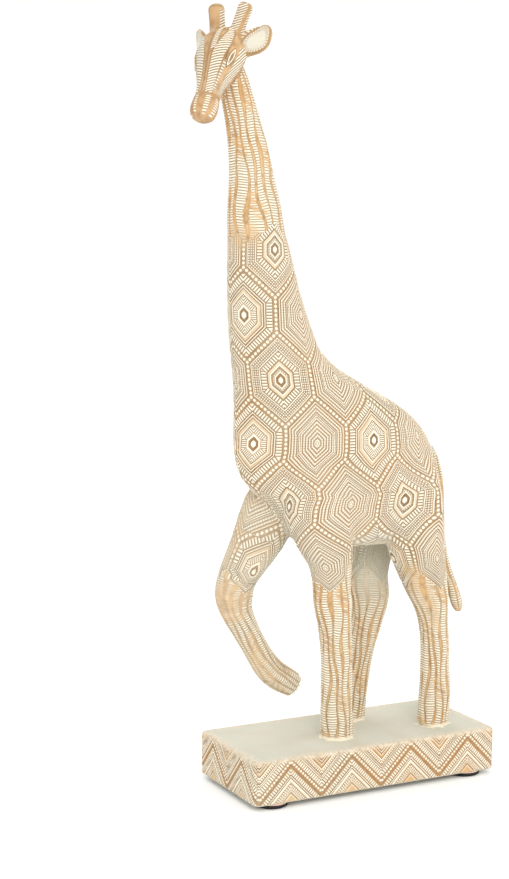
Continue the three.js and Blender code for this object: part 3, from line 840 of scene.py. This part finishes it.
def flare_feet(points, quads):
    """Sets the soles down flat on the plinth, with the lip of paint and filler that spreads round them."""
    normals = vertex_normals(points, quads)
    outward = normals * [1, 1, 0]
    outward /= np.maximum(np.linalg.norm(outward, axis=1), 0.3)[:, None]
    near = np.clip(1 - (points[:, 2] - PLINTH_TOP - 0.4) / FLARE_HEIGHT, 0, 1)
    uneven = 0.75 + 0.25 * np.sin(points[:, 0] * 1.9) * np.cos(points[:, 1] * 1.7)
    points = points + outward * (near**2.2 * FLARE * uneven)[:, None]
    points[:, 2] = np.where(points[:, 2] < PLINTH_TOP + 0.75, SOLE, points[:, 2])
    return points


ACROSS_VIEW = (0.89, -0.46)  # the way across a horn on the side that shows its ticks
EAR_HALF = 3.6  # half the height of the hollow of an ear
EAR_SPREAD = {"ear_left": 7.5, "ear_right": 5.6}
EAR_FACING = {"ear_left": (-0.46, -0.89, 0), "ear_right": (-1, -0.1, 0)}


def small_fields(points, normals, node):
    """Ticks on an ear or a horn, and the pale wash inside the ears and round the far horn's foot."""
    if node.startswith("horn"):
        low_corner, high_corner = points.min(0), points.max(0)
        share = (points[:, 2] - low_corner[2]) / (high_corner[2] - low_corner[2])
        around = points[:, 0] - points[:, 0].mean() - (share - 0.5) * (5 if node == "horn_left" else 0)
        if node == "horn_left":
            ticked, plain = smooth(np.abs(around + 0.3), 0.5, 1.2), np.zeros(len(points))
        else:
            across = (points[:, :2] - points[:, :2].mean(0)) @ ACROSS_VIEW
            stack, foot = smooth(across, 0.9, 1.6) * smooth(-share, -0.9, -0.8), smooth(-share, -0.3, -0.2)
            ticked = np.maximum(stack, foot)
            plain = smooth(-share, -0.55, -0.3) * 0.6
        ticked = ticked * smooth(-share, -0.97, -0.9)
        edge = smooth(-np.abs(share - 0.95), -0.05, -0.02) * 0.4
        return {"tick_along": points[:, 2] - around * 0.45, "tick_share": ticked, "tick_edge": edge,
                "small_plain": plain}
    side = 1 if node == "ear_left" else -1
    base = HEAD_BACK + HEAD_AXIS * 6 + HEAD_LEFT * side * EAR_SPREAD[node] + HEAD_TOP
    back = np.array([-HEAD_AXIS[0], -HEAD_AXIS[1], 0]) / np.hypot(HEAD_AXIS[0], HEAD_AXIS[1])
    axis = HEAD_LEFT * side * 8.4 + back * 8.8 + np.array([0, 0, 7.0])
    rise = np.cross(EAR_FACING[node], axis) * side
    rise /= np.linalg.norm(rise)
    share = (points - base) @ axis / (axis @ axis)
    up = (points - base) @ rise + 0.8 - 2.4 * smooth(share, 0.55, 1.1)
    edge = np.hypot((share - 0.5) / 0.5, (up + 0.2) / EAR_HALF)
    facing = smooth(normals @ np.array(EAR_FACING[node]), -0.1, 0.3)
    inner = smooth(-edge, -1, -0.88) * facing
    # ticks point inwards from the rim, and more cross its upper edge
    turn = np.arctan2(up / EAR_HALF, (share - 0.5) / 0.5)
    outer = smooth(edge, 1.08, 1.18) * smooth(up, 0.6, 1.6)
    ticked = np.maximum(inner * smooth(edge, 0.55, 0.8) * 0.75, outer * 0.8)
    rim = smooth(-np.abs(edge - 1.05), -0.14, -0.05) * facing
    return {"tick_along": turn * 5.1, "tick_share": ticked, "tick_edge": rim * 0.6,
            "small_plain": inner * (0.85 - 0.6 * smooth(edge, 0.6, 0.85))}


HIDE_CREAM, HIDE_BROWN, HIDE_RELIEF, HIDE_GAP = hide_pattern()
HEAD_CREAM, HEAD_BROWN, HEAD_RELIEF, HEAD_WARM, HEAD_FAR_SIDE_SHADE = head_pattern()
SMALL_CREAM, SMALL_BROWN, SMALL_RELIEF = small_pattern()


CAP_DIP = 0.5  # how far the middle of a cap lies below the skin


def cap_cuts(made, normals):
    """Closes each cut edge with a fan of triangles, its middle inside the body. Gives how many it made."""
    made.edges.ensure_lookup_table()
    waiting = {e.index for e in made.edges if e.is_boundary}
    fans = []
    while waiting:
        ends, chain = [waiting.pop()], []
        while ends:
            chain.append(ends.pop())
            linked = {e.index for v in made.edges[chain[-1]].verts for e in v.link_edges} & waiting
            waiting -= linked
            ends.extend(sorted(linked))
        fans.append([made.edges[i].link_loops[0] for i in chain])
    for fan in fans:
        corners = [loop.vert for loop in fan]
        place = sum((v.co for v in corners), Vector()) / len(corners)
        inward = Vector(-normals[[v.index for v in corners]].mean(0))
        middle = made.verts.new(place + inward * CAP_DIP * MM)
        for loop in fan:
            made.faces.new((loop.link_loop_next.vert, loop.vert, middle))
    return len(fans)


def closed_piece(name, points, quads, fields, normals, material):
    """One piece of the skin as an object, its cut edges capped so that it is a closed body."""
    mesh = bpy.data.meshes.new(name)
    mesh.from_pydata(((points + [SHIFT_X, 0, 0]) * MM).tolist(), [], quads.tolist())
    for key, values in fields.items():
        mesh.attributes.new(key, "FLOAT", "POINT").data.foreach_set("value", values.astype(np.float32))
    made = bmesh.new()
    made.from_mesh(mesh)
    middles = cap_cuts(made, normals)
    made.to_mesh(mesh)
    made.free()
    mesh.polygons.foreach_set("use_smooth", [True] * len(mesh.polygons))
    mesh.normals_split_custom_set_from_vertices(normals.tolist() + [(0, 0, 0)] * middles)
    mesh.materials.append(material)
    return linked(name, mesh)


def build_animal():
    points, quads, owner = build_skin()
    points = flare_feet(points, quads)
    normals = vertex_normals(points, quads)
    lift, shares = np.zeros(len(points)), np.zeros(len(points))
    parts = {}
    for i, node in enumerate(SKIN_NODES):
        own = quads[owner == i]
        used = np.unique(own)
        fields_of, pattern, _ = SKIN_KINDS[node]
        fields = fields_of(points[used], normals[used], node)
        relief = pattern.value(fields) * np.ones(len(used))
        calm = 1 - np.clip(fields.get("plain", 0), 0, 1) * 0.6
        feet = smooth(points[used][:, 2], PLINTH_TOP + 0.8, PLINTH_TOP + 2)
        lift[used] += (relief - 0.5) * RELIEF * calm * feet
        shares[used] += 1
        parts[node] = (own, used, fields)
    points = points + normals * (lift / np.maximum(shares, 1))[:, None]
    normals = vertex_normals(points, quads)
    for node, (own, used, fields) in parts.items():
        renumber = np.zeros(len(points), int)
        renumber[used] = np.arange(len(used))
        piece = closed_piece(
            node + "_finish", points[used], renumber[own], fields, normals[used], SKIN_KINDS[node][2]
        )
        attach(piece, "root")
        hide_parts(node)


# plain lays the grey wash, on the hide as painted shade on undersides, between the legs and on the raised
# leg's shaded side
HIDE = painted_resin(
    "hide_resin", HIDE_CREAM, HIDE_BROWN, plain=field("plain"), warm=HIDE_GAP, mottle=HIDE_GAP * 0.4 + 0.2,
)
# the face's plain is painted shade on the side of the head turned away from the light
FACE = painted_resin(
    "face_resin", HEAD_CREAM, HEAD_BROWN, warm=HEAD_WARM, plain=HEAD_FAR_SIDE_SHADE, mottle=0.62, tans=FACE_TANS,
)
SMALL = painted_resin(
    "small_resin", SMALL_CREAM, SMALL_BROWN, plain=field("small_plain"), warm=0.45, mottle=0.5,
    tans=FACE_TANS, pale=EAR_WASH,
)
# what gives a piece its fields, its relief and its material
SKIN_KINDS = {n: (hide_fields, HIDE_RELIEF, HIDE) for n in SKIN_NODES}
SKIN_KINDS["head"] = (head_fields, HEAD_RELIEF, FACE)
for small in SMALL_NODES:
    SKIN_KINDS[small] = (small_fields, SMALL_RELIEF, SMALL)
build_animal()

# ---- The plinth ------------------------------------------------------------------------------------------
CORNER = 3.0
ZIGZAG_PERIODS_LONG, ZIGZAG_PERIODS_SHORT = 4, 2
ZIGZAG_LOW, ZIGZAG_HIGH = PLINTH_BOTTOM + 2.4, PLINTH_TOP - 1.1
ZIGZAG_START = 1.7  # how far in from the front left corner the first wave starts
PERIOD = 2 * PLINTH_HALF_X / ZIGZAG_PERIODS_LONG
ZIG_SLOPE = (ZIGZAG_HIGH - ZIGZAG_LOW) / (PERIOD / 2)
ZIG_COS = 1 / math.hypot(1, ZIG_SLOPE)
ZIGZAG_DOTS = 14  # on each slope
DOT_HALF = 0.7  # half the width of the groove that the dots stand in
PLINTH_STEP = 0.45
EDGE_ROUNDING, EDGE_STEPS = 1.3, 4  # of the top edge
SIDE_START = 0.7  # how far up the side the relief starts
LEVEL = 0.75  # the relief value that lies on the CAD surface


def plinth_profile():
    """(inset from the side, height, share of relief) from the underside's middle to the top's."""
    rows = [(inset, PLINTH_BOTTOM, 0) for inset in (24.2, 18, 12, 7, 3.5, 1.6)]
    rows += [(0.7, PLINTH_BOTTOM + 0.02, 0), (0.2, PLINTH_BOTTOM + 0.25, 0)]
    tall = PLINTH_TOP - PLINTH_BOTTOM - EDGE_ROUNDING - 0.8
    count = int(tall / PLINTH_STEP)
    rows += [(0, PLINTH_BOTTOM + SIDE_START + tall * i / count, 1) for i in range(count + 1)]
    for i in range(1, EDGE_STEPS + 1):
        turn = math.pi / 2 * i / EDGE_STEPS
        inset, drop = EDGE_ROUNDING * (1 - math.cos(turn)), EDGE_ROUNDING * (1 - math.sin(turn))
        rows.append((inset, PLINTH_TOP - drop, 1 - i / EDGE_STEPS))
    return rows + [(inset, PLINTH_TOP, 0) for inset in (1.9, 2.8, 4.5, 7, 11, 16, 20, 24.2)]


def ring_points(inset, count_long, count_short, count_corner):
    """(x, y) of points round the plinth at an inset, starting along its -Y side."""
    radius = max(CORNER - inset, 0.05)
    half_x, half_y = (max(half - inset - radius, 0.05) for half in (PLINTH_HALF_X, PLINTH_HALF_Y))
    made = []
    sides = [((-1, -1), (1, -1), count_long), ((1, -1), (1, 1), count_short),
             ((1, 1), (-1, 1), count_long), ((-1, 1), (-1, -1), count_short)]
    for number, (start, end, count) in enumerate(sides):
        facing = math.radians(-90 + 90 * number)
        way = (end[0] - start[0], end[1] - start[1])
        steps = [(start[0] + way[0] * i / count, start[1] + way[1] * i / count, facing) for i in range(count)]
        steps += [(*end, facing + math.pi / 2 * i / count_corner) for i in range(count_corner)]
        made += [(x * half_x + radius * math.cos(t), y * half_y + radius * math.sin(t)) for x, y, t in steps]
    return np.array(made)


def zigzag_places(outline):
    """Distance along the zigzag, in periods of its wave, from the front left corner."""
    x, y = outline.T
    on_long = (PLINTH_HALF_Y - np.abs(y)) < (PLINTH_HALF_X - np.abs(x))
    long_place = x + PLINTH_HALF_X - ZIGZAG_START
    long_place = long_place / (2 * PLINTH_HALF_X - ZIGZAG_START) * ZIGZAG_PERIODS_LONG
    short_place = (y + PLINTH_HALF_Y) / (2 * PLINTH_HALF_Y) * ZIGZAG_PERIODS_SHORT
    return np.where(on_long, long_place, short_place)


def zigzag_pattern():
    place, height, side = field("zig_place"), field("zig_height"), field("zig_side")
    saw = size_of(fract(place) - 0.5) * 2  # 1 at a valley and 0 at a peak
    off = (height - ZIGZAG_HIGH + saw * (ZIGZAG_HIGH - ZIGZAG_LOW)) * ZIG_COS
    run = PERIOD / 2 / ZIG_COS
    leg = saw * run - off * ZIG_SLOPE
    pitch = run / ZIGZAG_DOTS
    dotted = band(off, -DOT_HALF, DOT_HALF)
    dots = spots(off + pitch / 2, leg, pitch, pitch, 0.36) * dotted
    below = off * -1
    solid = bands(
        off, (3.25, 3.65), (4.0, 4.35), (5.9, 6.4), (7.4, 7.7), (8.3, 8.6), (9.2, 9.5), (10.1, 10.4)
    )
    solid = solid + bands(below, (3.95, 4.35), (4.75, 5.35), (7.1, 7.4), (8.1, 8.4), (9.1, 9.4))
    pale = band(below, 5.25, 5.8) * 0.6
    big = band(off, 1.05, 3.0) + band(below, 1.85, 3.6)
    fine = band(off, 4.75, 5.7) + bands(below, (6.1, 6.95), (7.55, 7.95))
    ladder, fine_ladder = stripes(leg, 1.06, 0.64), stripes(leg, 0.95, 0.62)
    lines = bands(
        off, (0.72, 1.0), (3.0, 3.2), (3.7, 3.95), (4.4, 4.65), (6.45, 6.7), (7.75, 8.0), (8.65, 8.95)
    )
    lines = lines + bands(below, (3.65, 3.9), (4.4, 4.7), (5.85, 6.05), (7.0, 7.1), (8.45, 8.7))
    groove = band(below, 0.65, 1.75)
    cream = high(dots, solid, pale, big * ladder, fine * fine_ladder) * side
    brown = high(lines, groove * 0.75, dotted * 0.6, (big + fine) * 0.85) * side * (1 - cream)
    raised = high(dots, solid, pale, big * ladder, fine * 0.45) * side
    return cream, brown, (1 - high(brown, groove * side)) * 0.5 + raised * 0.5


ZIG_CREAM, ZIG_BROWN, ZIG_RELIEF = zigzag_pattern()


# x and y where each foot meets the plinth, and how far the pale paint spreads round it
FEET = [(-9.2, -7, 8.4), (35, -8.5, 8.2), (8, 13, 7.8)]
FOOT_RAGGED, FOOT_FADE = 0.0022, 900  # metres, and share per metre


def near_feet(look):
    """1 on the plinth close round each foot, with a ragged edge."""
    ragged = look.noise(260, 3) * FOOT_RAGGED
    close = []
    for x, y, reach in FEET:
        node = look.tree.nodes.new("ShaderNodeVectorMath")
        node.operation = "DISTANCE"
        look.tree.links.new(look.place, node.inputs[0])
        node.inputs[1].default_value = ((x + SHIFT_X) * MM, y * MM, PLINTH_TOP * MM)
        away = Expr("SOCKET", node.outputs["Value"]) + ragged
        close.append(clamp((reach * MM - away) * FOOT_FADE))
    return high(*close)


def plinth_look():
    look = Look("plinth_resin_look")
    cloud, grain = look.noise(60), look.noise(*GRAIN)
    tan = look.blend(look.blend(PALE_TAN, TAN, cloud), ORANGE, look.noise(30, 2) * 0.6)
    groove = look.blend(BROWN, RED_BROWN, look.noise(45, 2) * 0.5 + 0.5)
    base = painted(look, tan, groove, ZIG_CREAM, ZIG_BROWN, grain)
    top = look.blend(colour(208, 205, 190), colour(199, 199, 183), look.noise(40, 4))
    top = look.blend(top, colour(206, 192, 170), look.noise(75, 4, 0.5, 0.75) * 0.5)
    top = look.blend(top, colour(244, 236, 216), near_feet(look))
    base = look.blend(top, base, field("zig_side"))
    rubbed = clamp(field("zig_edge") * look.noise(620, 5, 0.42, 0.56))
    base = look.blend(base, colour(230, 216, 194), rubbed)
    chipped = clamp(field("zig_edge") * look.noise(950, 3, 0.52, 0.6))
    base = look.blend(base, TAN, chipped * 0.6)
    normal = painted_normal(look, ZIG_CREAM, ZIG_BROWN, look.noise(500, 4), 0.00006)
    return look.finish(base, grain * 0.06 + 0.72, normal)


def build_plinth():
    long, short = (int(2 * (half - CORNER) / PLINTH_STEP) for half in (PLINTH_HALF_X, PLINTH_HALF_Y))
    profile = plinth_profile()
    rings = [ring_points(inset, long, short, 10) for inset, _, _ in profile]
    outline = rings[len(rings) // 2]
    around = len(outline)
    insets, heights, sides = (np.repeat(np.array(column, float), around) for column in zip(*profile))
    edges = np.clip(1 - np.abs(heights - PLINTH_TOP + 0.6) / 1.2, 0, 1) * (insets < 3)
    points = np.column_stack([np.concatenate(rings), heights])
    quads = []
    for i in range(len(rings) - 1):
        for j in range(around):
            k = (j + 1) % around
            quads.append([i * around + j, i * around + k, (i + 1) * around + k, (i + 1) * around + j])
    quads = np.array(quads)
    # the place jumps at the corners, by whole waves except for the late start on the long sides
    fields = {
        "zig_place": np.tile(zigzag_places(outline), len(rings)), "zig_height": heights, "zig_side": sides,
        "zig_edge": edges,
    }
    normals = vertex_normals(points, quads)
    lift = (ZIG_RELIEF.value(fields) - LEVEL) * RELIEF * sides
    points = points + normals * lift[:, None]
    uneven = np.sin(points[:, 0] * 0.31) * np.cos(points[:, 1] * 0.27)
    points[:, 2] -= (points[:, 2] > PLINTH_TOP - 0.01) * (0.03 + 0.03 * uneven)
    piece = closed_piece("plinth_finish", points, quads, fields, vertex_normals(points, quads), plinth_look())
    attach(piece, "root")
    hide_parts("plinth")


build_plinth()


# ---- Pads, adhesive and pins -----------------------------------------------------------------------------
def speckled_look(name, first, second, scale, gain, least):
    """Rubber or foam: two close colours in fine specks, which also roughen it."""
    look = Look(name)
    speck = look.noise(scale, 3)
    return look.finish(look.blend(first, second, speck), speck * gain + least, look.bump(speck, 0.00005, 0.5))


def steel_look():
    look = Look("pin_steel_look")
    stretched = look.tree.nodes.new("ShaderNodeMapping")
    stretched.inputs["Scale"].default_value = (1, 1, 0.05)
    look.tree.links.new(look.place, stretched.inputs["Vector"])
    look.place = stretched.outputs["Vector"]
    drawn = look.noise(4000, 3)
    base = look.blend(colour(176, 178, 180), colour(205, 207, 208), drawn)
    normal = look.bump(drawn, 0.00002, 0.4)
    return look.finish(base, drawn * 0.15 + 0.28, normal, metallic=1.0, specular=0.5)


def turned_disc(name, profile, centre, material, sides=64):
    """A closed turned shape from (radius, height) points, in millimetres, about an upright axis."""
    made = bmesh.new()
    rings = []
    ways = [Vector((math.cos(t), math.sin(t), 0)) for t in (2 * math.pi * i / sides for i in range(sides))]
    for radius, height in profile:
        rings.append([made.verts.new((Vector((*centre, height)) + way * radius) * MM) for way in ways])
    for lower, upper in zip(rings, rings[1:]):
        for i in range(sides):
            k = (i + 1) % sides
            made.faces.new([lower[i], lower[k], upper[k], upper[i]])
    made.faces.new(list(reversed(rings[0])))
    made.faces.new(rings[-1])
    mesh = bpy.data.meshes.new(name)
    made.to_mesh(mesh)
    made.free()
    mesh.polygons.foreach_set("use_smooth", [len(p.vertices) == 4 for p in mesh.polygons])
    mesh.materials.append(material)
    return linked(name, mesh)


# (how far in from the rim, height): from the bottom for the first points, and from the top for the others
PAD_PROFILE = [(1.1, 0), (0.5, 0.12), (0.12, 0.45)], [(0, -0.25), (0.08, -0.05), (0.25, 0.15)]
ADHESIVE_PROFILE = [(0.2, 0), (0.06, 0.1)], [(0.06, 0.2), (0.2, 0.28)]
DISC_MIDDLE = 0.2  # the radius of the flat that closes a disc's middle


def build_pads():
    rubber = speckled_look("pad_rubber_look", colour(22, 22, 23), colour(44, 43, 43), 1500, 0.2, 0.6)
    adhesive = speckled_look(
        "pad_adhesive_look", colour(226, 186, 160), colour(240, 208, 188), 1800, 0.1, 0.62,
    )
    for corner in ("front_left", "front_right", "rear_left", "rear_right"):
        for node, material, slot, (lower, upper) in (
            (f"pad_{corner}", rubber, "pad_rubber", PAD_PROFILE),
            (f"pad_adhesive_{corner}", adhesive, "pad_adhesive", ADHESIVE_PROFILE),
        ):
            lowest, highest = (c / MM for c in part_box(node))
            radius, centre = (highest.x - lowest.x) / 2, (lowest + highest) / 2
            profile = [(radius - inset, lowest.z + height) for inset, height in lower]
            profile += [(radius - inset, highest.z + height) for inset, height in upper]
            profile = [(DISC_MIDDLE, profile[0][1]), *profile, (DISC_MIDDLE, profile[-1][1])]
            piece = turned_disc(node + "_finish", profile, (centre.x, centre.y), material)
            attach(piece, "root")
            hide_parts(node)


build_pads()
steel = steel_look()
for name in PIN_NODES:
    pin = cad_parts[name]
    pin.data.materials.clear()
    pin.data.materials.append(steel)


# ---- Floor, lights and camera ----------------------------------------------------------------------------
def build_stage():
    mesh = bpy.data.meshes.new("floor")
    mesh.from_pydata([(-6, -6, 0), (6, -6, 0), (6, 6, 0), (-6, 6, 0)], [], [[0, 1, 2, 3]])
    look = Look("floor_look")
    base = look.blend(colour(255, 255, 255), colour(253, 253, 253), look.noise(3))
    mesh.materials.append(look.finish(base, 0.9))
    floor_piece = linked("floor", mesh)


def area_light(name, place, target, size, power, tint=(1, 1, 1)):
    data = bpy.data.lights.new(name, "AREA")
    data.shape, data.size, data.energy, data.color = "DISK", size, power, tint
    light = linked(name, data)
    light.location = place
    light.rotation_euler = (Vector(target) - Vector(place)).to_track_quat("-Z", "Y").to_euler()


def build_lights():
    world = bpy.data.worlds.new("studio")
    bpy.context.scene.world = world
    world.use_nodes = True
    background = world.node_tree.nodes["Background"]
    background.inputs["Color"].default_value = (1, 1, 1, 1)
    background.inputs["Strength"].default_value = 1.03
    middle = (0, 0, 0.15)
    area_light("key", (-0.35, -1.05, 0.9), middle, 0.6, 6.0, (1, 0.985, 0.96))
    area_light("fill", (0.9, -0.7, 0.5), middle, 0.9, 1.2)
    area_light("back", (0.2, 1.0, 0.9), middle, 0.8, 2.0)


CAMERA_PLACE = Vector((-335.5, -589.0, 222.4)) * MM
CAMERA_FORWARD = Vector((0.4528, 0.8831, -0.1231))
CAMERA_ROLL = math.radians(0.21)
LENS, SENSOR = 70.65, 36


def build_camera():
    data = bpy.data.cameras.new("camera")
    data.lens, data.sensor_width, data.sensor_fit = LENS, SENSOR, "AUTO"
    data.clip_start, data.clip_end = 0.01, 20
    camera = linked("camera", data)
    turn = CAMERA_FORWARD.to_track_quat("-Z", "Y") @ Matrix.Rotation(CAMERA_ROLL, 4, "Z").to_quaternion()
    camera.rotation_mode = "QUATERNION"
    camera.rotation_quaternion = turn
    camera.location = CAMERA_PLACE
    bpy.context.scene.camera = camera


build_stage()
build_lights()
build_camera()
bpy.context.scene.view_settings.view_transform = "Standard"

bpy.context.view_layer.update()
